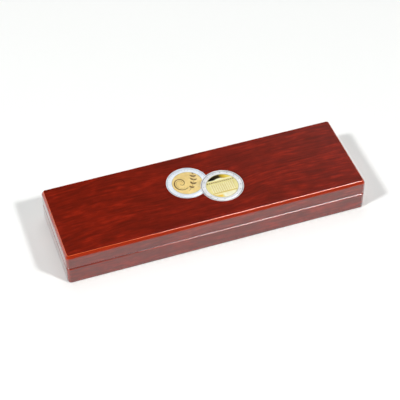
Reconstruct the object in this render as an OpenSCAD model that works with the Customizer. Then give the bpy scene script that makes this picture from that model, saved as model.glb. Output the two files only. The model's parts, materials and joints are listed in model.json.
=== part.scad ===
// Presentation case for a row of coins in capsules: a slim lacquered wooden box with a hinged lid.
// Millimetres. +X runs along the case to the right, the front faces -Y, +Z is up.
// The origin is the bottom centre of the closed case.

/* [Case] */
// Length of the closed case
case_l = 240; // [232:1:260]
// Width of the closed case, front to back
case_w = 75; // [70:1:85]
// Height of the closed case, felt included
case_h = 28.4; // [28:0.1:32]
// Height of the line where the lid meets the base
seam_z = 15.2; // [15:0.1:16]
// Gap left between the two rims when the case is closed
seam_gap = 0.2; // [0.1:0.05:0.3]
// Thickness of the four walls
wall_t = 7; // [6.8:0.1:8]
// Radius of the four upright corners
corner_r = 3.2; // [3:0.1:5]
// How far in from the sides the slope along the lid's top edge starts
slope_w = 1.9; // [1.2:0.1:2.2]
// How far down from the top that slope runs out into the side
slope_h = 3; // [2.4:0.1:3.3]
// Small round where the slope meets the top
arris_r = 0.5; // [0.3:0.1:0.7]
// Larger round where the slope runs out into the side
slope_foot_r = 2; // [1.5:0.1:2.2]
// Round-over of the two rims along the seam
seam_round = 1; // [0.3:0.1:1.2]
// Round-over of the bottom edge
foot_round = 0.5; // [0.2:0.1:1]
// Thickness of the base's bottom panel
base_panel_t = 3; // [2.5:0.1:3]
// Thickness of the lid's top panel
lid_panel_t = 4; // [3.5:0.1:4.5]

/* [Felt foot] */
// Thickness of the felt sheet under the base
felt_t = 0.8; // [0.6:0.1:1.2]
// How far the felt stands out of its recess
felt_stands = 0.3; // [0.2:0.1:0.5]
// Margin of bare wood around the felt
felt_margin = 4; // [2:1:10]

/* [Capsules and tray] */
// Number of coin capsules in the row
capsule_count = 5; // [1:1:5]
// Distance from one capsule to the next
capsule_pitch = 40; // [37:1:40]
// Outer diameter of a closed capsule
capsule_d = 32; // [31:0.5:32]
// Height of a closed capsule
capsule_h = 5.4; // [5.2:0.1:5.8]
// Diameter of the coin that a capsule holds
coin_d = 25.75; // [23:0.05:26]
// Gap all round between a capsule and its recess
recess_fit = 0.3; // [0.2:0.1:0.6]
// Thickness of the velour
velour_t = 0.5; // [0.3:0.1:0.6]
// Thickness of the card strips that line the walls
liner_t = 1; // [0.8:0.1:1.5]
// How far the base's liner stays below the rim
liner_drop = 0.8; // [0.5:0.1:2]
// Thickness of the foam under the tray
tray_foam_t = 3.5; // [2.5:0.1:3.5]
// Thickness of the card that closes the recesses below
tray_floor_t = 1.5; // [1:0.1:1.5]
// Thickness of the board with the round recesses
tray_board_t = 3.7; // [3:0.1:3.7]

/* [Lid pad] */
// Thickness of the card behind the lid's padding
pad_board_t = 1.2; // [1:0.1:1.5]
// Thickness of the foam in the lid's padding
pad_foam_t = 3; // [2:0.1:3]
// Thickness of the satin over the padding
satin_t = 0.5; // [0.3:0.1:0.6]

/* [Hinges] */
// Distance of each hinge from the middle of the case
hinge_x = 75; // [50:1:90]
// Length of a hinge
hinge_l = 24; // [20:1:30]
// Radius of a hinge's barrel
barrel_r = 1.5; // [1.4:0.05:1.5]
// Radius of a hinge pin
pin_r = 0.75; // [0.6:0.05:0.8]
// Radial play of the pin in the barrel
pin_play = 0.05; // [0.03:0.01:0.08]
// Distance of the hinge axis from the back face
hinge_inset = 1.7; // [1.6:0.05:2]
// Thickness of a hinge leaf
leaf_t = 0.8; // [0.6:0.1:0.8]
// How far a leaf reaches forward of the hinge axis
leaf_reach = 4.8; // [4.5:0.1:4.9]
// Opening angle at which the two back chamfers meet
open_angle = 100; // [90:1:110]

/* [Magnets] */
// Diameter of a closing magnet
magnet_d = 5; // [4:0.5:5]
// Thickness of a closing magnet
magnet_t = 2; // [1.5:0.5:3]
// Distance of each magnet from the middle of the case
magnet_x = 95; // [60:1:100]

/* [Emblem] */
// Diameter of the coin printed on the left
emblem_left_d = 32.9; // [20:0.1:34]
// Diameter of the coin printed on the right, which lies over the left one
emblem_right_d = 33.4; // [20:0.1:35]
// Thickness of the printed foil discs
emblem_t = 0.3; // [0.2:0.1:0.5]

/* [Hidden] */
SIDES = ["front", "back", "left", "right"];
HINGE_SIDES = ["left", "right"];
CAPSULES = [1:capsule_count];
$fn = 96;

LACQUERED_WOOD = [0.42, 0.10, 0.06];
VELOUR = [0.07, 0.07, 0.08];
SATIN = [0.88, 0.84, 0.75];
FELT = [0.10, 0.09, 0.09];
CARD = [0.55, 0.53, 0.50];
FOAM = [0.35, 0.35, 0.37];
BRASS = [0.78, 0.62, 0.32];
NICKEL = [0.75, 0.75, 0.76];
CLEAR = [0.85, 0.90, 0.95, 0.35];
SILVER_PRINT = [0.82, 0.85, 0.90];
GOLD_PRINT = [0.85, 0.74, 0.40];

// Cutters run this far past what they cut
over = 1;
// Small gap between glued or let-in pieces
fit_gap = 0.1;
// Heights, from the bottom up
foot_z = felt_stands;
base_panel_top = foot_z + base_panel_t;
base_rim = seam_z - seam_gap / 2;
tray_floor_z = base_panel_top + tray_foam_t;
recess_floor_z = tray_floor_z + tray_floor_t;
tray_board_z = recess_floor_z + velour_t;
tray_board_top = tray_board_z + tray_board_t;
capsule_z = tray_board_z + fit_gap;
lid_rim = seam_z + seam_gap / 2;
lid_panel_z = case_h - lid_panel_t;
pad_board_z = lid_panel_z - pad_board_t;
pad_foam_z = pad_board_z - pad_foam_t;
// Inside of the wooden walls, and inside of their liners
inner_l = case_l - 2 * wall_t;
inner_w = case_w - 2 * wall_t;
lined_l = inner_l - 2 * liner_t;
lined_w = inner_w - 2 * liner_t;
insert_l = lined_l - 2 * fit_gap;
insert_w = lined_w - 2 * fit_gap;
lid_liner_drop = 1;
// Recesses and capsules
recess_r = capsule_d / 2 + recess_fit;
capsule_r = capsule_d / 2;
capsule_disc_t = 1;
capsule_wall_t = 1.1;
capsule_split_z = capsule_h - 1.8;
seat_r = coin_d / 2 + 0.08;
seat_t = 0.8;
seat_h = 1.4;
spigot_r = capsule_r - capsule_wall_t - 0.1;
spigot_t = 0.9;
edge_bevel = 0.3;
nail_notch = [6, 0.8, 1.2];
// Hinge
axis_y = case_w / 2 - hinge_inset;
bore_r = pin_r + pin_play;
end_knuckle_l = hinge_l * 7 / 24;
knuckle_gap = 0.2;
mid_knuckle_l = hinge_l - 2 * (end_knuckle_l + knuckle_gap);
barrel_clear_r = barrel_r + 0.2;
screw_x = hinge_l / 3;
screw_y = -leaf_reach * 2 / 3;
screw_r = 0.7;
screw_l = 6;
screw_head_r = 1.35;
screw_play = 0.05;
drive_l = 1.5;
drive_w = 0.35;
drive_depth = 0.35;
// The back chamfers start just in front of the axis, so they stay clear at full opening
chamfer_lead = 0.2;
magnet_y = -case_w / 2 + wall_t / 2;
// Places of the two printed coins on the lid
emblem_left_at = [-11, 6.9];
emblem_right_at = [13.5, -4.7];
emblem_gap = 0.05;

// ---- Shared shapes ----

// Takes the sharp corner off a profile: a square less the quarter circle inside it
module corner_waste(r) {
    difference() {
        square(r + over);
        circle(r);
    }
}

// Takes the slope off the corner at the origin: a small round above, a flat, and a larger round below
module slope_waste() {
    arris = [-slope_w, -arris_r];
    foot = [-slope_foot_r, -slope_h];
    apart = arris - foot;
    lean = atan2(apart.y, apart.x) - acos((slope_foot_r - arris_r) / norm(apart));
    facing = [cos(lean), sin(lean)];
    deep = -max(slope_w, slope_foot_r) - over;
    difference() {
        translate([-slope_w, -slope_h]) square([slope_w + over, slope_h + over]);
        translate(arris) circle(arris_r);
        translate(foot) circle(slope_foot_r);
        polygon([
            arris, arris + arris_r * facing, foot + slope_foot_r * facing, foot,
            [deep, foot.y], [deep, arris.y]
        ]);
    }
}

// Upright cross-section of a slab, centred on x = 0, with rounded lower corners.
// Its upper corners are rounded too, or carry the slope where high_r is 0.
module edge_profile(width, height, low_r, high_r) {
    difference() {
        translate([-width / 2, 0]) square([width, height]);
        for (flip = [0, 1]) mirror([flip, 0]) {
            if (high_r > 0) translate([width / 2 - high_r, height - high_r]) corner_waste(high_r);
            else translate([width / 2, height]) slope_waste();
            translate([width / 2 - low_r, low_r]) mirror([0, 1]) corner_waste(low_r);
        }
    }
}

// Slab with rounded upright corners and rounded lower and upper edges, or the slope where high_r is 0
module soft_slab(length, width, height, low_r, high_r) {
    rotate([90, 0, 90]) linear_extrude(length - 2 * corner_r, center = true)
        edge_profile(width, height, low_r, high_r);
    rotate([90, 0, 0]) linear_extrude(width - 2 * corner_r, center = true)
        edge_profile(length, height, low_r, high_r);
    for (x = [-1, 1], y = [-1, 1])
        translate([x * (length / 2 - corner_r), y * (width / 2 - corner_r), 0])
            rotate_extrude() intersection() {
                edge_profile(2 * corner_r, height, low_r, high_r);
                square([corner_r, height]);
            }
}

// The V along the back that lets the lid fall back, and stops it when its two faces meet
module back_notch() {
    depth = hinge_inset + chamfer_lead + over;
    rise = depth * tan(open_angle / 2);
    translate([0, axis_y - chamfer_lead, seam_z]) rotate([90, 0, 90])
        linear_extrude(case_l + 2 * over, center = true)
            polygon([[0, 0], [depth, rise], [depth, -rise]]);
}

// Outer shape of the whole base, and of the whole lid
module base_outline() {
    difference() {
        translate([0, 0, foot_z])
            soft_slab(case_l, case_w, base_rim - foot_z, foot_round, seam_round);
        back_notch();
    }
}

module lid_outline() {
    difference() {
        translate([0, 0, lid_rim])
            soft_slab(case_l, case_w, case_h - lid_rim, seam_round, 0);
        back_notch();
    }
}

// The share of the box that one wall takes, cut at 45 degrees where two walls meet
module mitre_wedge(side, low, high) {
    x = case_l / 2 + over;
    y = case_w / 2 + over;
    long_side = [[-x, -y], [x, -y], [x - y, 0], [y - x, 0]];
    short_side = [[-x, -y], [y - x, 0], [-x, y]];
    translate([0, 0, low]) linear_extrude(high - low) {
        if (side == "front") polygon(long_side);
        if (side == "back") mirror([0, 1]) polygon(long_side);
        if (side == "left") polygon(short_side);
        if (side == "right") mirror([1, 0]) polygon(short_side);
    }
}

module block(length, width, low, high) {
    translate([-length / 2, -width / 2, low]) cube([length, width, high - low]);
}

// One of four strips that line the walls: the long strips run through, the short ones fit between
module liner_strip(side, low, high) {
    long = side == "front" || side == "back";
    sign = side == "front" || side == "left" ? -1 : 1;
    at = long ? [0, sign * (inner_w - liner_t) / 2] : [sign * (inner_l - liner_t) / 2, 0];
    translate(at) {
        if (long) block(inner_l, liner_t, low, high);
        else block(liner_t, lined_w, low, high);
    }
}

module round_bar(length, r) {
    rotate([0, 90, 0]) cylinder(h = length, r = r, center = true);
}

function hinge_sign(side) = side == "left" ? -1 : 1;
function capsule_x(n) = (n - (capsule_count + 1) / 2) * capsule_pitch;

module at_hinge(side) {
    translate([hinge_sign(side) * hinge_x, axis_y, seam_z]) children();
}

module at_both_hinges() {
    for (side = HINGE_SIDES) at_hinge(side) children();
}

module at_leaf_screws() {
    for (s = [-1, 1]) translate([s * screw_x, screw_y, -seam_gap / 2]) children();
}

module at_recesses() {
    for (n = CAPSULES) translate([capsule_x(n), 0, 0]) children();
}

module at_magnets() {
    for (s = [-1, 1]) translate([s * magnet_x, magnet_y, 0]) children();
}

// ---- Hinges, drawn about the axis with the base below ----

// Countersunk screw without its drive, head up, its top at z = 0; play opens it into its own hole
module screw_blank(play) {
    head_h = screw_head_r - screw_r;
    translate([0, 0, -head_h]) cylinder(h = head_h, r1 = screw_r + play, r2 = screw_head_r + play);
    translate([0, 0, -screw_l]) cylinder(h = screw_l - head_h, r = screw_r + play);
}

// The same screw with a cross recess in its head
module screw() {
    difference() {
        screw_blank(0);
        for (turn = [45, 135]) rotate([0, 0, turn]) translate([0, 0, over / 2 - drive_depth])
            cube([drive_l, drive_w, over], center = true);
    }
}

module leaf_plate() {
    translate([-hinge_l / 2, -leaf_reach, -seam_gap / 2 - leaf_t]) cube([hinge_l, leaf_reach, leaf_t]);
}

module knuckle(x, length, r) {
    translate([x, 0, 0]) round_bar(length, r);
}

// Leaf with a knuckle at each end
module base_leaf() {
    end_x = (hinge_l - end_knuckle_l) / 2;
    difference() {
        union() {
            difference() {
                leaf_plate();
                knuckle(0, mid_knuckle_l + 2 * knuckle_gap, barrel_clear_r);
            }
            for (s = [-1, 1]) knuckle(s * end_x, end_knuckle_l, barrel_r);
        }
        round_bar(hinge_l + over, bore_r);
        at_leaf_screws() screw_blank(screw_play);
    }
}

// Leaf with one knuckle in the middle
module lid_leaf() {
    side_l = hinge_l / 2 - mid_knuckle_l / 2;
    side_x = (hinge_l - side_l) / 2;
    mirror([0, 0, 1]) difference() {
        union() {
            difference() {
                leaf_plate();
                for (s = [-1, 1]) translate([s * over / 2, 0, 0])
                    knuckle(s * side_x, side_l + over, barrel_clear_r);
            }
            knuckle(0, mid_knuckle_l, barrel_r);
        }
        round_bar(hinge_l + over, bore_r);
        at_leaf_screws() screw_blank(screw_play);
    }
}

// What a hinge takes out of the wood below it: leaf pocket, barrel groove and two pilot holes
module hinge_pocket() {
    translate([-hinge_l / 2 - fit_gap, -leaf_reach - fit_gap, -seam_gap / 2 - leaf_t])
        cube([hinge_l + 2 * fit_gap, leaf_reach + fit_gap, leaf_t + over]);
    round_bar(hinge_l + 4 * fit_gap, barrel_clear_r);
    at_leaf_screws() screw_blank(screw_play);
}

// ---- Base ----

module base_rail(side) {
    color(LACQUERED_WOOD) difference() {
        intersection() {
            base_outline();
            mitre_wedge(side, base_panel_top, seam_z);
        }
        block(inner_l, inner_w, base_panel_top - over, seam_z);
        if (side == "back") at_both_hinges() hinge_pocket();
        if (side == "front") at_magnets() translate([0, 0, base_rim - magnet_t])
            cylinder(h = magnet_t + over, d = magnet_d + fit_gap);
    }
}

module base_panel() {
    color(LACQUERED_WOOD) difference() {
        intersection() {
            base_outline();
            block(case_l + over, case_w + over, 0, base_panel_top);
        }
        block(case_l - 2 * felt_margin + fit_gap, case_w - 2 * felt_margin + fit_gap, -over, felt_t);
    }
}

module base_felt() {
    color(FELT) block(case_l - 2 * felt_margin, case_w - 2 * felt_margin, 0, felt_t);
}

module base_liner(side) {
    color(VELOUR) liner_strip(side, base_panel_top, base_rim - liner_drop);
}

module tray_foam() {
    color(FOAM) block(insert_l, insert_w, base_panel_top, tray_floor_z);
}

module tray_floor_board() {
    color(CARD) block(insert_l, insert_w, tray_floor_z, recess_floor_z);
}

module recess_floor_velour() {
    color(VELOUR) block(insert_l, insert_w, recess_floor_z, tray_board_z);
}

module tray_board() {
    color(CARD) difference() {
        block(insert_l, insert_w, tray_board_z, tray_board_top);
        at_recesses() translate([0, 0, tray_board_z - over])
            cylinder(h = tray_board_t + 2 * over, r = recess_r + velour_t + fit_gap / 2);
    }
}

// One sheet over the board, turned down into the five recesses
module tray_velour() {
    color(VELOUR) difference() {
        union() {
            block(insert_l, insert_w, tray_board_top, tray_board_top + velour_t);
            at_recesses() translate([0, 0, tray_board_z])
                cylinder(h = tray_board_t + velour_t, r = recess_r + velour_t);
        }
        at_recesses() translate([0, 0, tray_board_z - over])
            cylinder(h = tray_board_t + 2 * over, r = recess_r);
    }
}

module base_magnets() {
    color(NICKEL) at_magnets() translate([0, 0, base_rim - magnet_t])
        cylinder(h = magnet_t, d = magnet_d);
}

module hinge_base_leaf(side) {
    color(BRASS) at_hinge(side) base_leaf();
}

module hinge_pin(side) {
    color(BRASS) at_hinge(side) round_bar(hinge_l, pin_r);
}

module hinge_screws_base() {
    color(BRASS) at_both_hinges() at_leaf_screws() screw();
}

// ---- Lid ----

module lid_rail(side) {
    color(LACQUERED_WOOD) difference() {
        intersection() {
            lid_outline();
            mitre_wedge(side, seam_z, lid_panel_z);
        }
        block(inner_l, inner_w, seam_z, lid_panel_z + over);
        if (side == "back") at_both_hinges() mirror([0, 0, 1]) hinge_pocket();
        if (side == "front") at_magnets() translate([0, 0, lid_rim - over])
            cylinder(h = magnet_t + over, d = magnet_d + fit_gap);
    }
}

module lid_panel() {
    color(LACQUERED_WOOD) difference() {
        intersection() {
            lid_outline();
            block(case_l + over, case_w + over, lid_panel_z, case_h + over);
        }
        translate([0, 0, case_h - emblem_t]) {
            translate(emblem_left_at) cylinder(h = emblem_t + over, d = emblem_left_d + fit_gap);
            translate(emblem_right_at) cylinder(h = emblem_t + over, d = emblem_right_d + fit_gap);
        }
    }
}

module lid_liner(side) {
    color(SATIN) liner_strip(side, lid_rim + lid_liner_drop, lid_panel_z);
}

module lid_pad_board() {
    color(CARD) block(insert_l, insert_w, pad_board_z, lid_panel_z);
}

module lid_pad_foam() {
    inset = 2 * (satin_t + fit_gap / 2);
    color(FOAM) block(insert_l - inset, insert_w - inset, pad_foam_z, pad_board_z);
}

// Satin drawn over the foam and glued to the back board round its edge
module lid_pad_cover() {
    color(SATIN) difference() {
        block(insert_l, insert_w, pad_foam_z - satin_t, pad_board_z);
        block(insert_l - 2 * satin_t, insert_w - 2 * satin_t, pad_foam_z, pad_board_z + over);
    }
}

module lid_magnets() {
    color(NICKEL) at_magnets() translate([0, 0, lid_rim]) cylinder(h = magnet_t, d = magnet_d);
}

module hinge_lid_leaf(side) {
    color(BRASS) at_hinge(side) lid_leaf();
}

module hinge_screws_lid() {
    color(BRASS) at_both_hinges() mirror([0, 0, 1]) at_leaf_screws() screw();
}

module emblem_coin_left() {
    color(SILVER_PRINT) difference() {
        translate([emblem_left_at.x, emblem_left_at.y, case_h - emblem_t])
            cylinder(h = emblem_t, d = emblem_left_d);
        translate([emblem_right_at.x, emblem_right_at.y, case_h - emblem_t - over])
            cylinder(h = emblem_t + 2 * over, r = emblem_right_d / 2 + emblem_gap);
    }
}

module emblem_coin_right() {
    color(GOLD_PRINT) translate([emblem_right_at.x, emblem_right_at.y, case_h - emblem_t])
        cylinder(h = emblem_t, d = emblem_right_d);
}

// ---- Capsules ----

// Notch for a fingernail, cut across the joint of the two halves
module nail_notch_cut() {
    translate([-nail_notch.x / 2, -capsule_r - over, capsule_split_z - nail_notch.z / 2])
        cube([nail_notch.x, nail_notch.y + over, nail_notch.z]);
}

// Lower half: a disc, an outer wall and the low ring that seats the coin
module capsule_base(n) {
    wall_r = capsule_r - capsule_wall_t;
    color(CLEAR) translate([capsule_x(n), 0, capsule_z]) difference() {
        rotate_extrude() {
            polygon([
                [0, 0], [capsule_r - edge_bevel, 0], [capsule_r, edge_bevel],
                [capsule_r, capsule_split_z], [wall_r, capsule_split_z],
                [wall_r, capsule_disc_t], [seat_r + seat_t, capsule_disc_t],
                [seat_r + seat_t, capsule_disc_t + seat_h], [seat_r, capsule_disc_t + seat_h],
                [seat_r, capsule_disc_t], [0, capsule_disc_t]
            ]);
        }
        nail_notch_cut();
    }
}

// Upper half: a disc, a rim that closes on the base's wall and a spigot inside it
module capsule_cover(n) {
    top = capsule_h;
    disc_z = capsule_h - capsule_disc_t;
    rim_z = capsule_split_z + 0.05;
    spigot_z = capsule_disc_t + 0.4;
    rim_r = capsule_r - capsule_wall_t;
    color(CLEAR) translate([capsule_x(n), 0, capsule_z]) difference() {
        rotate_extrude() {
            polygon([
                [0, disc_z], [spigot_r - spigot_t, disc_z], [spigot_r - spigot_t, spigot_z],
                [spigot_r, spigot_z], [spigot_r, disc_z], [rim_r, disc_z], [rim_r, rim_z],
                [capsule_r, rim_z], [capsule_r, top - edge_bevel], [capsule_r - edge_bevel, top],
                [0, top]
            ]);
        }
        nail_notch_cut();
    }
}

// ---- Assembly ----

for (side = SIDES) {
    base_rail(side);
    base_liner(side);
    lid_rail(side);
    lid_liner(side);
}
for (side = HINGE_SIDES) {
    hinge_base_leaf(side);
    hinge_pin(side);
    hinge_lid_leaf(side);
}
for (n = CAPSULES) {
    capsule_base(n);
    capsule_cover(n);
}
base_panel();
base_felt();
tray_foam();
tray_floor_board();
recess_floor_velour();
tray_board();
tray_velour();
base_magnets();
hinge_screws_base();
lid_panel();
lid_pad_board();
lid_pad_foam();
lid_pad_cover();
lid_magnets();
hinge_screws_lid();
emblem_coin_left();
emblem_coin_right();
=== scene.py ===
"""Looks of the coin presentation case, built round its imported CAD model. Metres, +Z up, front towards -Y."""

import json
import math

import bmesh
import bpy
from mathutils import Matrix, Vector, noise

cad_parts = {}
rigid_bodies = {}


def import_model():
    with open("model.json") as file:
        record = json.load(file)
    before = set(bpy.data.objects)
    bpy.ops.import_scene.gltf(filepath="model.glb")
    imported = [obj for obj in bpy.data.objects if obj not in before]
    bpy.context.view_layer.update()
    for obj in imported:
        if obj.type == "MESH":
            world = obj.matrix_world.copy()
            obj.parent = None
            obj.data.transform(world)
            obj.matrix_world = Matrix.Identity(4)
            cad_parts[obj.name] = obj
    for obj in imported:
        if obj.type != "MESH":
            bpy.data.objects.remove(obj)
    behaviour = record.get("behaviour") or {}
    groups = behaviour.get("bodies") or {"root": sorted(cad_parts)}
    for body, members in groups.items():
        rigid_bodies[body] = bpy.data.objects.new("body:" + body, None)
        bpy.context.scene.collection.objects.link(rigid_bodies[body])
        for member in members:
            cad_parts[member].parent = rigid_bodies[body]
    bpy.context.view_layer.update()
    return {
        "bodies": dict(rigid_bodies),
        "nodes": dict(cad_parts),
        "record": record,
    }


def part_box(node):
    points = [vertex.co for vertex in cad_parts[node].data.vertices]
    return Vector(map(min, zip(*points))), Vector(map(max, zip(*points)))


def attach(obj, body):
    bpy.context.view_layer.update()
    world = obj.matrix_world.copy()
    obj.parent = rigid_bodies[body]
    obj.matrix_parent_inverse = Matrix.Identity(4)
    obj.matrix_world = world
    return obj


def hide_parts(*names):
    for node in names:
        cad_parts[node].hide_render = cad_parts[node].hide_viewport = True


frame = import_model()
NODES = frame["nodes"]

MM = 0.001
SIDES = ("front", "back", "left", "right")
CAPSULES = sorted(b for b in frame["bodies"] if b.startswith("capsule_"))


# ---------------------------------------------------------------- small helpers

def smoothstep(x):
    x = min(1.0, max(0.0, x))
    return x * x * (3 - 2 * x)


def ripple(x, y, z, size, seed=0.0):
    """Smooth noise from -1 to 1 at a point, with features of about that size, both in metres."""
    return noise.noise(Vector((x, y, z)) / size + Vector((seed, 2 * seed, 3 * seed)))


def mesh_object(name, bm, *materials, smooth=True):
    """The finished object for a bmesh, its faces turned outward."""
    bmesh.ops.recalc_face_normals(bm, faces=bm.faces[:])
    mesh = bpy.data.meshes.new(name)
    bm.to_mesh(mesh)
    bm.free()
    for m in materials:
        mesh.materials.append(m)
    if smooth:
        mesh.shade_smooth()
    obj = bpy.data.objects.new(name, mesh)
    bpy.context.scene.collection.objects.link(obj)
    return obj


def modifier(obj, kind, **settings):
    m = obj.modifiers.new(kind.lower(), kind)
    for key, value in settings.items():
        setattr(m, key, value)
    return m


def apply_modifiers(obj):
    """Puts the mesh as its modifiers leave it into the object."""
    depsgraph = bpy.context.evaluated_depsgraph_get()
    depsgraph.update()
    made = bpy.data.meshes.new_from_object(obj.evaluated_get(depsgraph))
    obj.modifiers.clear()
    obj.data = made


def bevel(obj, width, segments=2, angle=35):
    return modifier(obj, "BEVEL", width=width, segments=segments, limit_method="ANGLE",
                    angle_limit=math.radians(angle), harden_normals=False)


# ---------------------------------------------------------------- shader node helpers

class Nodes:
    """Adds and links the nodes of one shader tree."""

    def __init__(self, tree):
        self.tree = tree

    def feed(self, socket, value):
        if isinstance(value, bpy.types.NodeSocket):
            self.tree.links.new(value, socket)
        elif isinstance(value, tuple) and len(value) == 3 and socket.type == "RGBA":
            socket.default_value = (*value, 1)
        else:
            socket.default_value = value

    def node(self, kind, inputs=(), **settings):
        made = self.tree.nodes.new(kind)
        for key, value in settings.items():
            setattr(made, key, value)
        for key, value in dict(inputs).items():
            self.feed(made.inputs[key], value)
        return made

    def stretch(self, place, scale, shift=(0, 0, 0)):
        return self.node("ShaderNodeMapping", {"Vector": place, "Scale": scale, "Location": shift}).outputs[0]

    def noise(self, place, scale=1.0, detail=3.0, roughness=0.55, distortion=0.0, colour=False):
        made = self.node("ShaderNodeTexNoise", {
            "Vector": place, "Scale": scale, "Detail": detail, "Roughness": roughness,
            "Distortion": distortion})
        return made.outputs["Color" if colour else "Fac"]

    def math(self, operation, a, b=0.0, c=0.0):
        return self.node("ShaderNodeMath", {0: a, 1: b, 2: c}, operation=operation).outputs[0]

    def vector_math(self, operation, a, b=(0, 0, 0)):
        return self.node("ShaderNodeVectorMath", {0: a, 1: b}, operation=operation).outputs["Vector"]

    def span(self, value, low, high, to_low=0.0, to_high=1.0):
        """value from low..high to to_low..to_high, held at the ends, with a smooth turn."""
        made = self.node("ShaderNodeMapRange", {
            "Value": value, "From Min": low, "From Max": high, "To Min": to_low, "To Max": to_high},
            interpolation_type="SMOOTHSTEP")
        return made.outputs["Result"]

    def mix(self, share, a, b):
        made = self.node("ShaderNodeMix", data_type="RGBA")
        for socket, value in ((0, share), (6, a), (7, b)):
            self.feed(made.inputs[socket], value)
        return made.outputs[2]

    def ramp(self, value, *stops):
        made = self.node("ShaderNodeValToRGB", {"Fac": value})
        elements = made.color_ramp.elements
        while len(elements) < len(stops):
            elements.new(0.5)
        for element, (at, colour) in zip(elements, stops):
            element.position = at
            element.color = (*colour, 1)
        return made.outputs[0]

    def bump(self, height, strength, distance, normal=None):
        made = self.node("ShaderNodeBump", {"Height": height, "Strength": strength, "Distance": distance})
        if normal is not None:
            self.feed(made.inputs["Normal"], normal)
        return made.outputs[0]

    def split(self, vector):
        return self.node("ShaderNodeSeparateXYZ", {0: vector}).outputs

    def join(self, x, y, z):
        return self.node("ShaderNodeCombineXYZ", {0: x, 1: y, 2: z}).outputs[0]


class Material(Nodes):
    """A node material: mat, its Principled shader, and the object coordinates and normal."""

    def __init__(self, name, **inputs):
        self.mat = bpy.data.materials.new(name)
        self.mat.use_nodes = True
        super().__init__(self.mat.node_tree)
        self.shader = self.tree.nodes["Principled BSDF"]
        self.set(**inputs)
        coords = self.node("ShaderNodeTexCoord")
        self.place = coords.outputs["Object"]
        self.normal = coords.outputs["Normal"]

    def set(self, **inputs):
        """Sets or links the shader's sockets: base_color is Base Color, and so on."""
        sockets = {k.lower().replace(" ", "_"): k for k in self.shader.inputs.keys()}
        for key, value in inputs.items():
            self.feed(self.shader.inputs[sockets[key]], value)


# ---------------------------------------------------------------- materials

def lacquered_wood(name, along_y=False):
    """Red-brown figured wood under thick clear lacquer. Its grain runs along X, or along Y."""
    m = Material(name, roughness=0.15, specular_ior_level=0.44, coat_weight=1.0, coat_roughness=0.04,
                 coat_ior=1.5)
    x, y, z = m.split(m.place)
    place = m.join(y, x, z) if along_y else m.place
    sway = m.noise(m.stretch(place, (9, 17, 17)), detail=2, colour=True)
    sway = m.vector_math("SUBTRACT", sway, (0.5, 0.5, 0.5))
    sway = m.vector_math("MULTIPLY", sway, (0.010, 0.024, 0.016))
    bent = m.vector_math("ADD", place, sway)
    figure = m.noise(m.stretch(bent, (55, 520, 520)), detail=3, roughness=0.55)
    cloud = m.noise(m.stretch(bent, (34, 120, 120), (3.1, 0.7, 0.2)), detail=2)
    mottle = m.noise(m.stretch(place, (150, 210, 210), (0.4, 1.9, 0.8)), detail=2)
    fibre = m.noise(m.stretch(bent, (170, 2100, 2100)), detail=2)
    tone = m.math("MULTIPLY_ADD", figure, 0.42, m.math("MULTIPLY", cloud, 0.30))
    tone = m.math("MULTIPLY_ADD", mottle, 0.16, tone)
    tone = m.math("MULTIPLY_ADD", fibre, 0.12, tone)
    colour = m.ramp(tone, (0.38, (0.124, 0.0086, 0.0031)), (0.46, (0.150, 0.0095, 0.0033)),
                    (0.53, (0.196, 0.0112, 0.0037)), (0.61, (0.285, 0.0155, 0.0046)))
    pores = m.noise(m.stretch(bent, (240, 2600, 2600)), detail=1)
    colour = m.mix(m.span(pores, 0.70, 0.80, 0.0, 0.30), colour, (0.070, 0.0055, 0.0024))
    nx, ny, nz = (m.math("ABSOLUTE", s) for s in m.split(m.normal))
    flatness = m.math("MAXIMUM", m.math("MAXIMUM", nx, ny), nz)
    # The lacquer looks thinner where a face slopes, most of all on the sloping band high on the lid's edge
    worn = m.math("MULTIPLY", m.span(flatness, 0.992, 0.86), m.span(z, 0.0240, 0.0262, 0.42, 0.88))
    colour = m.mix(worn, colour, (0.410, 0.031, 0.0068))
    # Painted highlight, partly a worn lighter edge: a bright orange line along the lid's top arris
    arris_wear_and_painted_highlight = m.math("MULTIPLY", m.span(nz, 0.997, 0.97), m.span(nz, 0.60, 0.80))
    arris_wear_and_painted_highlight = m.math("MULTIPLY", arris_wear_and_painted_highlight, m.span(z, 0.0279, 0.0281))
    colour = m.mix(arris_wear_and_painted_highlight, colour, (0.80, 0.13, 0.035))
    m.set(base_color=colour)
    m.set(normal=m.bump(m.noise(m.stretch(bent, (80, 1600, 1600)), detail=2), 0.04, 0.0002))
    m.set(coat_normal=m.bump(m.noise(m.place, scale=85, detail=1), 0.04, 0.002))
    return m.mat


def velour(name, colour, tip):
    """Short-pile cloth: a dark ground, lighter at grazing angles, with a soft brushed nap."""
    m = Material(name, roughness=0.95, specular_ior_level=0.1, sheen_weight=0.55, sheen_roughness=0.35)
    m.set(sheen_tint=(*tip, 1))
    pile = m.noise(m.place, scale=5200, detail=2)
    nap = m.noise(m.stretch(m.place, (45, 90, 90)), detail=4)
    m.set(base_color=m.mix(m.math("MULTIPLY_ADD", pile, 0.6, m.math("MULTIPLY", nap, 0.5)),
                           tuple(c * 0.45 for c in colour), tuple(c * 1.7 for c in colour)))
    m.set(normal=m.bump(pile, 0.30, 0.00018, m.bump(nap, 0.25, 0.0005)))
    return m.mat


def satin(name, colour):
    """Smooth woven satin: fine floats along X under a soft gloss."""
    m = Material(name, roughness=0.38, specular_ior_level=0.45, sheen_weight=0.35, sheen_roughness=0.3,
                 anisotropic=0.5)
    weft = m.noise(m.stretch(m.place, (900, 9000, 9000)), detail=1)
    slub = m.noise(m.stretch(m.place, (25, 700, 700)), detail=2)
    shade = m.math("MULTIPLY_ADD", weft, 0.5, m.math("MULTIPLY", slub, 0.5))
    m.set(base_color=m.mix(shade, tuple(c * 0.80 for c in colour), tuple(min(1, c * 1.08) for c in colour)))
    m.set(normal=m.bump(shade, 0.30, 0.00012))
    return m.mat


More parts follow.
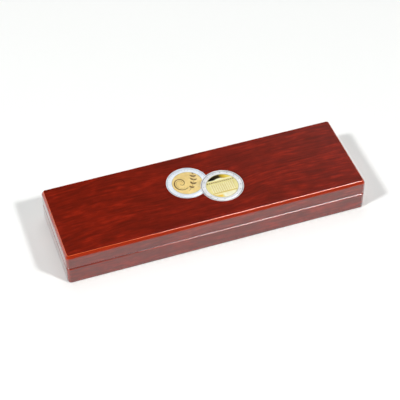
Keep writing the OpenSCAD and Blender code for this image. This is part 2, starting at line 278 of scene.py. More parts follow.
def felt(name, colour):
    """Pressed felt: matted fibres with a little colour variation."""
    m = Material(name, roughness=1.0, specular_ior_level=0.05, sheen_weight=0.3, sheen_roughness=0.6)
    fibres = m.noise(m.place, scale=2400, detail=4, roughness=0.7, distortion=1.2)
    blotch = m.noise(m.place, scale=60, detail=3)
    tone = m.math("MULTIPLY_ADD", fibres, 0.7, m.math("MULTIPLY", blotch, 0.4))
    dark, light = (tuple(c * share for c in colour) for share in (0.4, 1.8))
    m.set(base_color=m.ramp(tone, (0.35, dark), (0.75, light)))
    m.set(normal=m.bump(fibres, 0.7, 0.0003))
    return m.mat


def foam(name, colour):
    """Open-cell foam."""
    m = Material(name, roughness=0.9, specular_ior_level=0.15)
    cells = m.node("ShaderNodeTexVoronoi", {"Vector": m.place, "Scale": 1700}).outputs["Distance"]
    m.set(base_color=m.ramp(cells, (0.1, tuple(c * 0.3 for c in colour)), (0.6, colour)))
    m.set(normal=m.bump(cells, 0.6, 0.0004))
    return m.mat


def grey_board(name, colour):
    """Recycled bookbinder's board, flecked and slightly fibrous."""
    m = Material(name, roughness=0.88, specular_ior_level=0.2)
    flecks = m.noise(m.stretch(m.place, (900, 1400, 1400)), detail=4, roughness=0.7)
    tone = m.noise(m.place, scale=70, detail=3)
    shade = m.math("MULTIPLY_ADD", flecks, 0.7, m.math("MULTIPLY", tone, 0.4))
    dark, light = (tuple(c * share for c in colour) for share in (0.6, 1.25))
    m.set(base_color=m.ramp(shade, (0.38, dark), (0.68, light)))
    m.set(normal=m.bump(flecks, 0.3, 0.00015))
    return m.mat


def metal(name, colour, roughness, grain=(400, 6000, 6000)):
    """Rolled and polished metal: faint grain one way, finger smudges in the gloss."""
    m = Material(name, metallic=1.0)
    lines = m.noise(m.stretch(m.place, grain), detail=2)
    smudge = m.noise(m.place, scale=160, detail=3)
    m.set(base_color=m.mix(smudge, tuple(c * 0.86 for c in colour), tuple(min(1, c * 1.06) for c in colour)))
    m.set(roughness=m.span(m.math("MULTIPLY_ADD", lines, 0.5, m.math("MULTIPLY", smudge, 0.5)),
                           0.3, 0.7, roughness * 0.75, roughness * 1.4))
    m.set(normal=m.bump(lines, 0.12, 0.00008))
    return m.mat


def clear_plastic(name):
    """Injection-moulded clear polystyrene with faint turning marks and handling haze."""
    m = Material(name, base_color=(0.97, 0.985, 0.99), transmission_weight=1.0, ior=1.55)
    haze = m.noise(m.place, scale=140, detail=4)
    m.set(roughness=m.span(haze, 0.35, 0.75, 0.015, 0.09))
    m.set(normal=m.bump(m.noise(m.place, scale=260, detail=2), 0.03, 0.0003))
    return m.mat


def print_foil(name, colour, deep):
    """Foil print under lacquer: a fine screen of two tones, with a clear coat."""
    m = Material(name, roughness=0.22, coat_weight=0.8, coat_roughness=0.05)
    grain = m.noise(m.place, scale=1500, detail=3)
    wash = m.noise(m.place, scale=180, detail=2)
    tone = m.math("MULTIPLY_ADD", grain, 0.5, m.math("MULTIPLY", wash, 0.5))
    m.set(base_color=m.mix(m.span(tone, 0.35, 0.65), deep, colour))
    m.set(normal=m.bump(grain, 0.15, 0.0001))
    return m.mat


def sky_print(name, start_x, end_x):
    """A field that turns from black to gold between start_x and end_x, like a mirror of a dark room."""
    m = Material(name, roughness=0.18, coat_weight=0.8, coat_roughness=0.05)
    x = m.split(m.place)[0]
    waver = m.noise(m.place, scale=900, detail=2)
    along = m.math("MULTIPLY_ADD", m.math("SUBTRACT", waver, 0.5), 0.002, x)
    share = m.span(along, start_x, end_x)
    m.set(base_color=m.ramp(share, (0.0, (0.008, 0.006, 0.003)), (0.45, (0.05, 0.032, 0.004)),
                            (0.75, (0.62, 0.42, 0.03)), (1.0, (0.86, 0.70, 0.12))))
    m.set(normal=m.bump(waver, 0.08, 0.0001))
    return m.mat


WOOD = lacquered_wood("lacquered_wood")
WOOD_ACROSS = lacquered_wood("lacquered_wood_across", along_y=True)
VELOUR = velour("tray_velour", (0.013, 0.013, 0.017), (0.35, 0.35, 0.42))
SATIN = satin("lid_satin", (0.80, 0.73, 0.60))
FELT = felt("foot_felt", (0.030, 0.026, 0.026))
FOAM = foam("foam", (0.16, 0.16, 0.17))
BOARD = grey_board("grey_board", (0.33, 0.31, 0.28))
BRASS = metal("hinge_brass", (0.80, 0.56, 0.22), 0.24)
NICKEL = metal("magnet_nickel", (0.66, 0.65, 0.62), 0.18, grain=(2500, 2500, 2500))
CLEAR = clear_plastic("capsule_clear")

CAD_MATERIALS = {
    "lacquered_wood": WOOD, "tray_velour": VELOUR, "lid_satin": SATIN, "foot_felt": FELT, "foam": FOAM,
    "grey_board": BOARD, "hinge_brass": BRASS, "magnet_nickel": NICKEL, "capsule_clear": CLEAR,
}


def dress_cad_nodes():
    """Gives the CAD nodes their materials, and small bevels to metal and plastic."""
    for part in frame["record"]["subparts"]:
        made = CAD_MATERIALS.get(part["material_slot"])
        if part["node"].endswith(("left_rail", "right_rail")):
            made = WOOD_ACROSS
        obj = NODES[part["node"]]
        if made is not None:
            obj.data.materials.clear()
            obj.data.materials.append(made)
        if part["material_slot"] in ("hinge_brass", "magnet_nickel"):
            bevel(obj, 0.08 * MM)
        if part["material_slot"] == "capsule_clear":
            bevel(obj, 0.12 * MM)


dress_cad_nodes()


# ---------------------------------------------------------------- cloth over boards

def soft_slab(name, node, material, edge, rough, seed, belly=None, inset=0.0):
    """A sheet of cloth, felt or foam in the place of its CAD slab: rounded edges and an uneven face.
    belly(x, y) says how far above the slab's floor the lower face lies."""
    cell = 2.5 * MM
    lo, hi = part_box(node)
    lo, hi = lo + Vector((inset, inset, 0)), hi - Vector((inset, inset, 0))
    nx, ny = (max(4, round((hi[i] - lo[i]) / cell)) for i in (0, 1))
    bm = bmesh.new()

    def point(u, v, top):
        """u and v run from 0 to 1 over the slab; the outer rows turn in and down to round the edge."""
        x, y = lo.x + (hi.x - lo.x) * u, lo.y + (hi.y - lo.y) * v
        near = min(x - lo.x, hi.x - x, y - lo.y, hi.y - y)
        turn = edge * (1 - math.sqrt(max(0.0, 1 - (1 - min(1, near / edge)) ** 2)))
        lift = rough * ripple(x, y, 0, 3 * MM, seed + top) * min(1, near / (2 * edge))
        hollow = belly(x, y) if belly else 0.0
        z = hi.z - turn - abs(lift) if top else lo.z + hollow + turn + abs(lift)
        return bm.verts.new((x, y, z))

    def shares(count, length):
        """Even steps, with two close ones at each end to carry the rounding."""
        ends = [0, 0.35 * edge / length, edge / length]
        inner = [i / count for i in range(1, count)]
        return ends + inner + [1 - e for e in reversed(ends)]

    us, vs = shares(nx, hi.x - lo.x), shares(ny, hi.y - lo.y)
    grids = [[[point(u, v, top) for v in vs] for u in us] for top in (0, 1)]
    for grid in grids:
        for i in range(len(us) - 1):
            for j in range(len(vs) - 1):
                bm.faces.new((grid[i][j], grid[i + 1][j], grid[i + 1][j + 1], grid[i][j + 1]))
    last_u, last_v = len(us) - 1, len(vs) - 1
    rim = [(i, 0) for i in range(last_u)] + [(last_u, j) for j in range(last_v)]
    rim += [(i, last_v) for i in range(last_u, 0, -1)] + [(0, j) for j in range(last_v, 0, -1)]
    for (i, j), (k, l) in zip(rim, rim[1:] + rim[:1]):
        bm.faces.new((grids[0][i][j], grids[0][k][l], grids[1][k][l], grids[1][i][j]))
    return mesh_object(name, bm, material)


def liner_strip(name, node, material, fold_up, seed):
    """A card strip with cloth folded over its free edge, in the place of its CAD strip."""
    lo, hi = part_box(node)
    along = 0 if hi.x - lo.x > hi.y - lo.y else 1
    across = 1 - along
    half = (hi[across] - lo[across]) / 2
    middle = (hi[across] + lo[across]) / 2
    fixed_z, free_z = (lo.z, hi.z) if fold_up else (hi.z, lo.z)
    sign = 1 if fold_up else -1
    arc = [math.pi * k / 8 for k in range(9)]
    section = [(half * math.cos(a), free_z - sign * half * (1 - math.sin(a))) for a in arc]
    rise = [fixed_z + (free_z - sign * half - fixed_z) * k / 5 for k in range(5)]
    section = [(half, z) for z in rise] + section + [(-half, z) for z in reversed(rise)]
    steps = max(12, round((hi[along] - lo[along]) / (3 * MM)))
    bm = bmesh.new()
    rows = []
    for s in range(steps + 1):
        at = lo[along] + (hi[along] - lo[along]) * s / steps
        row = []
        for offset, z in section:
            inset = 0.04 * MM * (1 + ripple(at, offset, z, 5 * MM, seed)) / 2
            point = [0, 0, z]
            point[along], point[across] = at, middle + offset - math.copysign(inset, offset)
            row.append(bm.verts.new(point))
        rows.append(row)
    count = len(section)
    for a, b in zip(rows, rows[1:]):
        for k in range(count):
            bm.faces.new((a[k], b[k], b[(k + 1) % count], a[(k + 1) % count]))
    bm.faces.new(rows[0])
    bm.faces.new(rows[-1])
    strip = mesh_object(name, bm, material)
    bevel(strip, 0.05 * MM, segments=1, angle=60)
    return strip


def soft_parts():
    """Felt, foam, liners and the velour under the capsules."""
    slabs = [
        ("felt_foot", "base_felt", FELT, "base", "foot_felt", 0.25 * MM, 0.04 * MM),
        ("foam_under_tray", "tray_foam", FOAM, "base", "foam", 0.5 * MM, 0.05 * MM),
        ("velour_recess_floor", "recess_floor_velour", VELOUR, "base", "tray_velour", 0.2 * MM, 0.05 * MM),
    ]
    for seed, (name, node, material, body, slot, edge, rough) in enumerate(slabs):
        made = soft_slab(name, node, material, edge=edge, rough=rough, seed=seed)
        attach(made, body)
        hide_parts(node)
    for seed, side in enumerate(SIDES):
        for body, material, slot in (("base", VELOUR, "tray_velour"), ("lid", SATIN, "lid_satin")):
            node = f"{body}_liner_{side}"
            made = liner_strip(f"{node}_cloth", node, material, body == "base", seed)
            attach(made, body)
            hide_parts(node)


# ---------------------------------------------------------------- velour tray with round recesses

def tray_cloth():
    """The tray's velour: one sheet that rolls over a soft lip into each of the five recesses."""
    lo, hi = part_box("tray_velour")
    centres = sorted((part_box(f"{c}_base")[0].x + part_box(f"{c}_base")[1].x) / 2 for c in CAPSULES)
    pitch = centres[1] - centres[0]
    capsule_lo, capsule_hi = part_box("capsule_1_base")
    hole_r = (capsule_hi.x - capsule_lo.x) / 2 + 0.3 * MM
    lip = 0.9 * MM
    cloth = 0.45 * MM
    top, floor = hi.z, lo.z
    half_y, half_cell = hi.y, pitch / 2
    per_side = 22
    bm = bmesh.new()

    def surface(x, y, z):
        """Pile that lies unevenly: a slow waver and a fine tooth, always downward."""
        waver = 0.05 * MM * (1 + ripple(x, y, z, 9 * MM, 4)) / 2
        tooth = 0.03 * MM * (1 + ripple(x, y, z, 1.5 * MM, 7)) / 2
        return bm.verts.new((x, y, z - (waver + tooth)))

    def cell_edge(cx):
        """Points round the cell's rectangle, anticlockwise from its lower right corner."""
        steps = [2 * k / per_side - 1 for k in range(per_side)]
        right = [(cx + half_cell, half_y * s) for s in steps]
        back = [(cx - half_cell * s, half_y) for s in steps]
        left = [(cx - half_cell, -half_y * s) for s in steps]
        front = [(cx + half_cell * s, -half_y) for s in steps]
        return right + back + left + front

    # Rings from the lip inward and down: (radius, height)
    roll = [(hole_r + lip * (1 - math.sin(a)), top - lip * (1 - math.cos(a)))
            for a in (math.pi / 2 * k / 6 for k in range(7))]
    wall = [(hole_r, top - lip + (floor - top + lip) * k / 5) for k in range(1, 6)]
    rings = roll + wall
    spread = [0.08, 0.22, 0.40, 0.60, 0.80]
    for cx in centres:
        outer = cell_edge(cx)
        loops = [[surface(x, y, top) for x, y in outer]]
        directions = [Vector((x - cx, y, 0)).normalized() for x, y in outer]
        for share in reversed(spread):
            loop = []
            for (x, y), d in zip(outer, directions):
                start = Vector((cx, 0, 0)) + d * (hole_r + lip)
                p = start.lerp(Vector((x, y, 0)), share)
                loop.append(surface(p.x, p.y, top))
            loops.append(loop)
        for r, z in rings:
            loops.append([surface(cx + d.x * r, d.y * r, z) for d in directions])
        count = len(outer)
        for a, b in zip(loops, loops[1:]):
            for k in range(count):
                bm.faces.new((a[k], a[(k + 1) % count], b[(k + 1) % count], b[k]))
    ys = [half_y * (2 * k / per_side - 1) for k in range(per_side + 1)]
    for sign, end in ((-1, lo.x), (1, hi.x)):
        start = centres[0] - half_cell if sign < 0 else centres[-1] + half_cell
        rows = [[surface(start + (end - start) * k / 5, y, top) for y in ys] for k in range(6)]
        for a, b in zip(rows, rows[1:]):
            for j in range(per_side):
                bm.faces.new((a[j], b[j], b[j + 1], a[j + 1]))
    bmesh.ops.remove_doubles(bm, verts=bm.verts[:], dist=0.01 * MM)
    tray = mesh_object("velour_tray", bm, VELOUR)
    if max(tray.data.polygons, key=lambda f: f.center.z).normal.z < 0:
        tray.data.flip_normals()
    modifier(tray, "SOLIDIFY", thickness=cloth, offset=-1)
    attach(tray, "base")
    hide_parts("tray_velour")


# ---------------------------------------------------------------- padded satin in the lid

PAD_RISE = 16 * MM  # how far in from its edge the pad reaches its full height
PAD_SIDE = 2.3 * MM  # height of the pad's side


def pad_foam():
    """The foam in the lid pad, crowned so that it stays inside its satin."""
    lo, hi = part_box("lid_pad_cover")
    crown = hi.z - lo.z - PAD_SIDE

    def belly(x, y):
        near = min(x - lo.x, hi.x - x, y - lo.y, hi.y - y)
        return 0.3 * MM + crown * (1 - smoothstep(near / PAD_RISE))

    foam_slab = soft_slab("foam_in_lid_pad", "lid_pad_foam", FOAM, edge=0.6 * MM, rough=0.05 * MM, seed=3,
                          belly=belly, inset=0.9 * MM)
    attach(foam_slab, "lid")
    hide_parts("lid_pad_foam")


def pad_cover():
    """Satin drawn over foam: the cloth is blown up by simulation, and puckers where its edge is drawn in."""
    lo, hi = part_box("lid_pad_cover")
    inset, start_depth = 0.6 * MM, PAD_SIDE
    cell = 3.2 * MM
    lo_x, hi_x, lo_y, hi_y = lo.x + inset, hi.x - inset, lo.y + inset, hi.y - inset
    glued_z, free_z = hi.z, hi.z - start_depth
    nx, ny = round((hi_x - lo_x) / cell), round((hi_y - lo_y) / cell)
    bm = bmesh.new()
    sides = 3

    def spot(i, j, z):
        return bm.verts.new((lo_x + (hi_x - lo_x) * i / nx, lo_y + (hi_y - lo_y) * j / ny, z))

    levels = [glued_z + (free_z - glued_z) * k / sides for k in range(sides + 1)]
    rim = [(i, 0) for i in range(nx)] + [(nx, j) for j in range(ny)]
    rim += [(i, ny) for i in range(nx, 0, -1)] + [(0, j) for j in range(ny, 0, -1)]
    bands = [{ij: spot(*ij, z) for ij in rim} for z in levels]
    for a, b in zip(bands, bands[1:]):
        for p, q in zip(rim, rim[1:] + rim[:1]):
            bm.faces.new((a[p], a[q], b[q], b[p]))
    for band in (bands[0], bands[-1]):
        z = band[(0, 0)].co.z
        grid = {(i, j): band.get((i, j)) or spot(i, j, z) for i in range(nx + 1) for j in range(ny + 1)}
        for i in range(nx):
            for j in range(ny):
                bm.faces.new((grid[i, j], grid[i + 1, j], grid[i + 1, j + 1], grid[i, j + 1]))
    pad = mesh_object("lid_pad_satin", bm, SATIN)
    rest = [v.co.copy() for v in pad.data.vertices]
    glued = pad.vertex_groups.new(name="glued")
    glued.add([i for i, p in enumerate(rest) if p.z > glued_z - 0.01 * MM], 1.0, "REPLACE")
    inflate(pad, rest, "glued", 1.4 * MM)
    crown = hi.z - lo.z - start_depth
    for v, p in zip(pad.data.vertices, rest):
        free = (glued_z - p.z) / start_depth
        edge_x, edge_y = min(p.x - lo_x, hi_x - p.x), min(p.y - lo_y, hi_y - p.y)
        dome = smoothstep(min(edge_x, edge_y) / PAD_RISE)
        away = min(edge_x, edge_y)
        along = p.x if edge_y < edge_x else p.y
        fade = math.exp(-away / (4.5 * MM)) * free
        pucker = 0.16 * MM * math.sin(2 * math.pi * along / (5.2 * MM) + 2.5 * ripple(along, 0, 0, 9 * MM, 3))
        slack = 0.10 * MM * ripple(p.x, p.y, 0, 22 * MM, 9) * dome
        v.co.z = min(glued_z, max(lo.z + 0.02 * MM, v.co.z * 0.35 + (p.z - crown * dome * free) * 0.65
                                  + pucker * fade + slack * free))
        v.co.x = min(hi.x, max(lo.x, v.co.x))
        v.co.y = min(hi.y, max(lo.y, v.co.y))
    modifier(pad, "SUBSURF", levels=1, render_levels=1)
    apply_modifiers(pad)
    pad.data.shade_smooth()
    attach(pad, "lid")
    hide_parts("lid_pad_cover")


def inflate(obj, rest, pinned, cap, frames=20):
    """Blows a closed cloth mesh up a little, and caps how far a point may move."""
    scene = bpy.context.scene
    cloth = modifier(obj, "CLOTH")
    settings = cloth.settings
    settings.use_pressure = True
    settings.uniform_pressure_force = 4
    settings.effector_weights.gravity = 0
    settings.vertex_group_mass = pinned
    settings.quality = 5
    for f in range(1, frames + 1):
        scene.frame_set(f)
    apply_modifiers(obj)
    for v, p in zip(obj.data.vertices, rest):
        move = v.co - p
        if move.length > cap:
            v.co = p + move.normalized() * cap
    scene.frame_set(1)


soft_parts()
tray_cloth()
pad_foam()
pad_cover()


# ---------------------------------------------------------------- printed coins on the lid

SILVER = print_foil("print_silver", (0.83, 0.87, 0.92), (0.70, 0.75, 0.82))
SILVER_LIGHT = print_foil("print_silver_light", (0.87, 0.88, 0.89), (0.68, 0.69, 0.71))
SILVER_SHADE = print_foil("print_silver_shade", (0.26, 0.30, 0.36), (0.18, 0.21, 0.26))
SILVER_LINE = print_foil("print_silver_line", (0.075, 0.082, 0.10), (0.045, 0.050, 0.065))
GOLD = print_foil("print_gold", (0.90, 0.69, 0.28), (0.76, 0.55, 0.20))
GOLD_PALE = print_foil("print_gold_pale", (0.86, 0.78, 0.35), (0.74, 0.65, 0.25))
GOLD_BRIGHT = print_foil("print_gold_bright", (0.90, 0.62, 0.10), (0.80, 0.50, 0.06))
GOLD_DEEP = print_foil("print_gold_deep", (0.66, 0.46, 0.07), (0.52, 0.33, 0.04))
CREAM = print_foil("print_cream", (0.92, 0.88, 0.56), (0.84, 0.78, 0.46))
PALE = print_foil("print_pale", (0.92, 0.90, 0.74), (0.84, 0.80, 0.56))
BROWN = print_foil("print_brown", (0.26, 0.16, 0.05), (0.14, 0.08, 0.03))
EMBLEM_SLOTS = {"left": "emblem_coin_left", "right": "emblem_coin_right"}


def coin_place(side):
    """Centre, radius, floor and top of a printed coin's CAD disc. The right disc bites into the left."""
    lo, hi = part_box(f"emblem_coin_{side}")
    radius = (hi.y - lo.y) / 2
    x = lo.x + radius if side == "left" else (lo.x + hi.x) / 2
    return Vector((x, (lo.y + hi.y) / 2, 0)), radius, lo.z, hi.z


def turned(name, centre, profile, material, segments=160):
    """A closed ring or disc turned about the coin's centre from (radius, height) points."""
    bm = bmesh.new()
    loops = []
    for r, z in profile:
        if r < 1e-7:
            loops.append([bm.verts.new((centre.x, centre.y, z))] * segments)
        else:
            loops.append([bm.verts.new((centre.x + r * math.cos(a), centre.y + r * math.sin(a), z))
                          for a in (2 * math.pi * k / segments for k in range(segments))])
    for a, b in zip(loops, loops[1:] + loops[:1]):
        for k in range(segments):
            n = (k + 1) % segments
            corners = list(dict.fromkeys((a[k], a[n], b[n], b[k])))
            if len(corners) > 2:
                bm.faces.new(corners)
    return mesh_object(name, bm, material)


def relief(name, outlines, low, high, material, slope=0.05 * MM, dome=0.0):
    """Raised shapes with sloping sides, one for each closed outline. dome lifts the middle of each."""
    bm = bmesh.new()
    for outline in outlines:
        centre = sum(outline, Vector()) / len(outline)
        foot = [bm.verts.new((p.x, p.y, low)) for p in outline]
        shoulder, crest = [], []
        for p in outline:
            inward = (centre - p).normalized()
            q = p + inward * slope
            shoulder.append(bm.verts.new((q.x, q.y, high)))
            w = q.lerp(centre, 0.5)
            crest.append(bm.verts.new((w.x, w.y, high + dome)))
        count = len(outline)
        for a, b in ((foot, shoulder), (shoulder, crest)):
            for k in range(count):
                n = (k + 1) % count
                bm.faces.new((a[k], a[n], b[n], b[k]))
        bm.faces.new(crest)
        bm.faces.new(list(reversed(foot)))
    return mesh_object(name, bm, material, smooth=False)


def ribbon(points, widths):
    """Closed outline of a stroke of changing width along a line of points."""
    left, right = [], []
    for k, (p, w) in enumerate(zip(points, widths)):
        ahead = points[min(k + 1, len(points) - 1)] - points[max(k - 1, 0)]
        side = Vector((-ahead.y, ahead.x, 0)).normalized() * w / 2
        left.append(p + side)
        right.append(p - side)
    return left + list(reversed(right))


def stroke(name, lines, low, high, material):
    """Raised strokes, each built as a row of four-sided pieces so that it may curl."""
    bm = bmesh.new()
    for points, widths in lines:
        edge = ribbon(points, widths)
        count = len(points)
        left, right = edge[:count], list(reversed(edge[count:]))
        slope = 0.22
        rows = []
        for a, b in zip(left, right):
            rows.append([bm.verts.new((a.x, a.y, low)), bm.verts.new((*a.lerp(b, slope).xy, high)),
                         bm.verts.new((*b.lerp(a, slope).xy, high)), bm.verts.new((b.x, b.y, low))])
        for p, q in zip(rows, rows[1:]):
            for k in range(4):
                n = (k + 1) % 4
                bm.faces.new((p[k], q[k], q[n], p[n]))
        bm.faces.new(rows[0])
        bm.faces.new(list(reversed(rows[-1])))
    return mesh_object(name, bm, material, smooth=False)


def disc_outline(centre, radius, count=14):
    return [centre + Vector((radius * math.cos(a), radius * math.sin(a), 0))
            for a in (2 * math.pi * k / count for k in range(count))]


def leaf_outline(base, angle, length, width, count=7):
    """A pointed leaf that starts at base and lies along angle."""
    along = Vector((math.cos(angle), math.sin(angle), 0))
    side = Vector((-math.sin(angle), math.cos(angle), 0))
    upper = [base + along * length * t + side * width / 2 * math.sin(math.pi * t ** 0.8)
             for t in (k / count for k in range(count + 1))]
    lower = [base + along * length * t - side * width / 2 * math.sin(math.pi * t ** 0.8)
             for t in (k / count for k in range(count - 1, 0, -1))]
    return upper + lower


def bar_outline(centre, x, y, width, height):
    corners = [(x, y), (x + width, y), (x + width, y + height), (x, y + height)]
    return [centre + Vector((a * MM, b * MM, 0)) for a, b in corners]


def cut_away(obj, centre, radius, low, high):
    """Removes what lies within an upright cylinder."""
    bm = bmesh.new()
    bmesh.ops.create_cone(bm, cap_ends=True, segments=160, radius1=radius, radius2=radius,
                          depth=high - low, matrix=Matrix.Translation((centre.x, centre.y, (low + high) / 2)))
    cutter = mesh_object("cutter", bm, smooth=False)
    modifier(obj, "BOOLEAN", operation="DIFFERENCE", object=cutter, solver="EXACT")
    apply_modifiers(obj)
    bpy.data.objects.remove(cutter)


def hoop(name, centre, inner, outer, low, high, material):
    """A flat ring with softened upper edges."""
    soft = 0.04 * MM
    return turned(name, centre, [
        (inner, low), (outer, low), (outer, high - soft), (outer - soft, high), (inner + soft, high),
        (inner, high - soft)], material)


def coin_body(side, core_r, ring_material, line_material, core_material):
    """The silver ring with its raised rim and a dark line printed in its groove, and the gold core."""
    centre, radius, low, top = coin_place(side)
    flat = top - 0.05 * MM
    proud = top + 0.04 * MM
    core_line = 0.15 * MM
    inner = core_r + core_line
    rim = radius - 0.50 * MM
    line_out, line_in = rim - 0.05 * MM, rim - 0.43 * MM
    ring = turned(f"emblem_{side}_ring", centre, [
        (inner, low), (radius, low), (radius, proud - 0.06 * MM), (radius - 0.06 * MM, proud), (rim, proud),
        (line_out, flat - 0.05 * MM), (line_in, flat - 0.05 * MM), (line_in - 0.05 * MM, flat),
        (inner + 0.1 * MM, flat), (inner, flat - 0.04 * MM)], ring_material)
    core = turned(f"emblem_{side}_core", centre, [
        (0, low), (core_r - 0.02 * MM, low), (core_r - 0.02 * MM, flat - 0.06 * MM),
        (core_r - 0.14 * MM, flat - 0.01 * MM), (0, flat - 0.01 * MM)], core_material)
    hoops = [
        hoop(f"emblem_{side}_line", centre, line_in, line_out, flat - 0.08 * MM, flat - 0.01 * MM,
             line_material),
        hoop(f"emblem_{side}_core_line", centre, core_r, inner, low, flat - 0.02 * MM, SILVER_LINE)]
    return [ring, core, *hoops], centre, radius, flat


def left_coin():
    """A silver ring with fine beads, and a gold core with a scroll and a sprig: a design of no real coin."""
    core_r = 11.9 * MM
    pieces, centre, radius, flat = coin_body("left", core_r, SILVER, SILVER_SHADE, GOLD)
    low, high = flat - 0.02 * MM, flat + 0.07 * MM

    def at(x, y):
        return centre + Vector((x * MM, y * MM, 0))

    # Scroll: it winds in from its outer end, with a thin line inside part of it. In millimetres
    scroll_x, scroll_y = -5.0, 1.0
    turns, eye_r, growth, tallness = 1.22, 0.8, 5.6, 1.18
    line_gap, first, last = 1.35, 3, 40
    count = 60
    scroll, inner = [], []
    for k in range(count + 1):
        t = k / count
        a = math.radians(-128) + 2 * math.pi * turns * (1 - t)
        r = eye_r + growth * (1 - t) ** 0.8
        scroll.append(at(scroll_x + r * math.cos(a), scroll_y + r * tallness * math.sin(a)))
        if first <= k <= last:
            r -= line_gap
            inner.append(at(scroll_x + r * math.cos(a), scroll_y + r * tallness * math.sin(a)))
    swell = [0.28 + 0.80 * math.sin(math.pi * (k / count) ** 0.6) for k in range(count + 1)]
    scroll_line = (scroll, [w * MM for w in swell])
    inner_line = (inner, [0.24 * MM] * len(inner))

    # Sprig: a bent stem with four pairs of leaves and one at its tip
    steps = 24
    stem = [at(-1.4 + 8.6 * math.sin(0.5 * math.pi * t), -8.8 + 16.6 * t ** 1.1)
            for t in (k / steps for k in range(steps + 1))]
    stem_line = (stem, [(0.34 - 0.12 * k / steps) * MM for k in range(steps + 1)])
    lines = [scroll_line, inner_line, stem_line]
    pieces.append(stroke("emblem_left_scroll", lines, low, high, BROWN))
    leaves = []
    for k, out_len, in_len in ((5, 2.8, 2.6), (10, 3.4, 3.8), (15, 3.0, 4.6), (20, 2.5, 4.0)):
        ahead = stem[k + 1] - stem[k - 1]
        heading = math.atan2(ahead.y, ahead.x)
        leaves.append(leaf_outline(stem[k], heading - 0.8, out_len * MM, 1.6 * MM))
        leaves.append(leaf_outline(stem[k], heading + 0.95, in_len * MM, 1.7 * MM))
    leaves.append(leaf_outline(stem[steps], math.radians(95), 2.2 * MM, 1.1 * MM))
    pieces.append(relief("emblem_left_leaves", leaves, low, high, BROWN, slope=0.12 * MM, dome=0.03 * MM))
    beads = [disc_outline(centre + Vector((math.cos(a), math.sin(a), 0)) * (core_r + 2.3 * MM), 0.17 * MM, 10)
             for a in (2 * math.pi * k / 36 for k in range(36))]
    pieces.append(relief("emblem_left_beads", beads, low, high, SILVER_LINE, slope=0.06 * MM))
    other, other_r, other_low, other_top = coin_place("right")
    for piece in pieces:
        cut_away(piece, other, other_r + 0.06 * MM, other_low - 1 * MM, other_top + 1 * MM)
    return pieces


def right_coin():
    """White ring with a fine groove; a pale gold core with a plain colonnade under a dark-to-gold sky."""
    core_r = 12.5 * MM
    pieces, centre, radius, flat = coin_body("right", core_r, SILVER_LIGHT, SILVER_LINE, GOLD_PALE)
    low, high = flat - 0.02 * MM, flat + 0.07 * MM
    field_r = core_r - 0.35 * MM

    def chord(y, r=field_r / MM):
        """Half the width of the core's field at height y, in millimetres."""
        return math.sqrt(max(0.0, r * r - y * y))

    # Sky above the roof, in millimetres from the coin's centre
    roof_y = 7.3
    start = math.asin(roof_y / (field_r / MM))
    arc = [start + (math.pi - 2 * start) * k / 40 for k in range(41)]
    sky = [centre + Vector((field_r * math.cos(a), field_r * math.sin(a), 0)) for a in arc]
    sky_paint = sky_print("print_sky", centre.x - 6.8 * MM, centre.x + 9.0 * MM)
    pieces.append(relief("emblem_right_sky", [sky], low, flat + 0.02 * MM, sky_paint, slope=0.03 * MM))

    # Roof with two low ledges, and two steps at the foot
    wide = chord(roof_y)
    roof = [bar_outline(centre, -wide, roof_y - 0.9, 2 * wide, 0.9),
            bar_outline(centre, -3.4, roof_y, 6.8, 0.55), bar_outline(centre, -2.0, roof_y + 0.55, 4.0, 0.45)]
    pieces.append(relief("emblem_right_roof", roof, low, high, CREAM))
    steps = []
    for step_y in (-8.1, -9.0):
        reach = chord(step_y) - 0.3
        steps.append(bar_outline(centre, -reach, step_y, 2 * reach, 0.5))
    pieces.append(relief("emblem_right_steps", steps, low, high, CREAM))

    # Columns with a shaded gap beside each, under a row of dentils
    column_foot, column_w, column_h = -6.2, 0.84, 9.3
    shade_w, shade_h = 0.30, 9.1
    dentil_y, dentil_w, dentil_h = 4.2, 0.90, 1.3
    pitch, count = 1.72, 13
    columns, shades, dentils = [], [], []
    for k in range(count):
        x = (k - (count - 1) / 2) * pitch
        if abs(x) + 0.6 < chord(-6.0):
            columns.append(bar_outline(centre, x - column_w / 2, column_foot, column_w, column_h))
            shades.append(bar_outline(centre, x + column_w / 2 + 0.02, column_foot, shade_w, shade_h))
        if abs(x) + 0.5 < chord(5.3):
            dentils.append(bar_outline(centre, x - dentil_w / 2, dentil_y, dentil_w, dentil_h))
    pieces.append(relief("emblem_right_columns", columns, low, high, CREAM, slope=0.14 * MM))
    pieces.append(relief("emblem_right_shade", shades, low, flat + 0.01 * MM, GOLD_DEEP, slope=0.04 * MM))
    pieces.append(relief("emblem_right_dentils", dentils, low, high, BROWN, slope=0.06 * MM))

    # Ground line, and two tinted patches below it, each between two directions from the centre, in degrees
    ground_y, patch_top = -7.0, -7.75 * MM
    reach = chord(ground_y) - 0.3
    ground = [bar_outline(centre, -reach, ground_y, 2 * reach, 0.55)]
    pieces.append(relief("emblem_right_ground", ground, low, high, GOLD_DEEP))
    patch_r = field_r - 0.1 * MM
    for name, first, last, material in (("lawn", 222, 256, GOLD_BRIGHT), ("path", 262, 320.5, PALE)):
        turn = [math.radians(first + (last - first) * k / 20) for k in range(21)]
        rim = [Vector((math.cos(a), math.sin(a), 0)) * patch_r for a in turn]
        corner = Vector((rim[-1].x if last < 270 else rim[0].x, patch_top, 0))
        patch = [centre + p for p in (*rim, corner)]
        tint = relief(f"emblem_right_{name}", [patch], low, flat + 0.015 * MM, material, slope=0.03 * MM)
        pieces.append(tint)

    dots = [disc_outline(centre + Vector((math.cos(a), math.sin(a), 0)) * (core_r + 1.9 * MM), 0.34 * MM)
            for a in (2 * math.pi * (k + 0.5) / 16 for k in range(16))]
    pieces.append(relief("emblem_right_dots", dots, low, high, SILVER_LINE, slope=0.08 * MM))
    return pieces


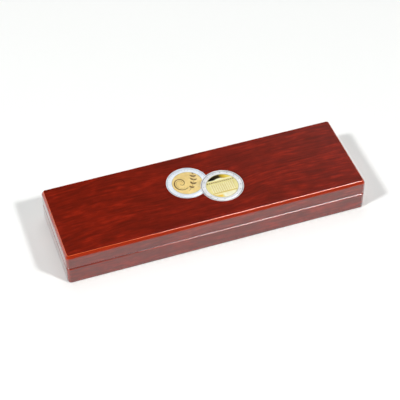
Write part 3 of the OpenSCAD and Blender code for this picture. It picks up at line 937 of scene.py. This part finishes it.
def emblem():
    """Puts both printed coins in the lid, in the place of the CAD discs."""
    for side, made in (("left", left_coin()), ("right", right_coin())):
        for piece in made:
            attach(piece, "lid")
        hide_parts(EMBLEM_SLOTS[side])


emblem()


# ---------------------------------------------------------------- floor, light and camera

def area_light(name, towards, distance, size, power):
    """A square light that stands off in direction towards and faces the case."""
    light = bpy.data.lights.new(name, "AREA")
    light.shape = "SQUARE"
    light.size = size
    light.energy = power
    obj = bpy.data.objects.new(name, light)
    at = Vector(towards).normalized() * distance
    obj.location = at
    obj.rotation_euler = at.to_track_quat("Z", "Y").to_euler()
    bpy.context.scene.collection.objects.link(obj)
    return obj


def studio():
    """Pale floor, two soft key lights, an overhead fill, and two cards that show only as gloss."""
    floor_size = 3.0
    key_distance, key_size, key_power = 2.6, 0.28, 38.2
    bm = bmesh.new()
    bmesh.ops.create_grid(bm, x_segments=1, y_segments=1, size=floor_size)
    paper = Material("floor_paper", roughness=0.9, specular_ior_level=0.0, base_color=(0.940, 0.952, 0.938))
    floor = mesh_object("floor", bm, paper.mat, smooth=False)
    area_light("key_right", (18.7, -21.9, 28.4), key_distance, key_size, key_power)
    area_light("key_left", (-24.1, -6.9, 28.4), key_distance, key_size, key_power)
    area_light("overhead", (0.0, 0.35, 1.0), 1.8, 1.1, 8.2).visible_glossy = False
    area_light("gloss_front", (0.33, -0.58, 0.74), 2.0, 0.70, 40).visible_diffuse = False
    area_light("gloss_top", (0.35, 0.05, 0.94), 1.6, 0.66, 10.8).visible_diffuse = False
    world = bpy.data.worlds.new("studio")
    world.use_nodes = True
    n = Nodes(world.node_tree)
    x, y, z = n.split(n.node("ShaderNodeTexCoord").outputs["Generated"])
    # Dim all round, but for a pale band at the horizon and a glow behind the case to the right
    glow = n.math("MULTIPLY", n.span(x, 0.12, 0.45), n.span(z, 0.80, 0.55))
    glow = n.math("MULTIPLY", glow, n.span(y, 0.0, 0.5))
    horizon = n.span(z, 0.14, 0.04, 0.012, 0.80)
    strength = n.math("MULTIPLY_ADD", glow, 0.55, horizon)
    n.feed(world.node_tree.nodes["Background"].inputs["Strength"], strength)
    world.node_tree.nodes["Background"].inputs["Color"].default_value = (1, 1, 1, 1)
    bpy.context.scene.world = world
    bpy.context.scene.view_settings.view_transform = "Standard"
    bpy.context.scene.view_settings.look = "None"


def camera():
    """Above and to the front left of the case, turned a little about its own axis."""
    data = bpy.data.cameras.new("camera")
    data.sensor_width = 36
    data.lens = 119.3
    place = Vector((-0.2305, -0.6801, 0.7550))
    obj = bpy.data.objects.new("camera", data)
    forward = Vector((0.2204, 0.6593, -0.7189)).normalized()
    roll = math.radians(-0.68)
    right = forward.cross(Vector((0, 0, 1))).normalized()
    up = right.cross(forward)
    tilted_right = right * math.cos(roll) + up * math.sin(roll)
    tilted_up = up * math.cos(roll) - right * math.sin(roll)
    axes = Matrix((tilted_right, tilted_up, -forward)).transposed().to_4x4()
    obj.matrix_world = Matrix.Translation(place) @ axes
    bpy.context.scene.collection.objects.link(obj)
    bpy.context.scene.camera = obj


studio()
camera()
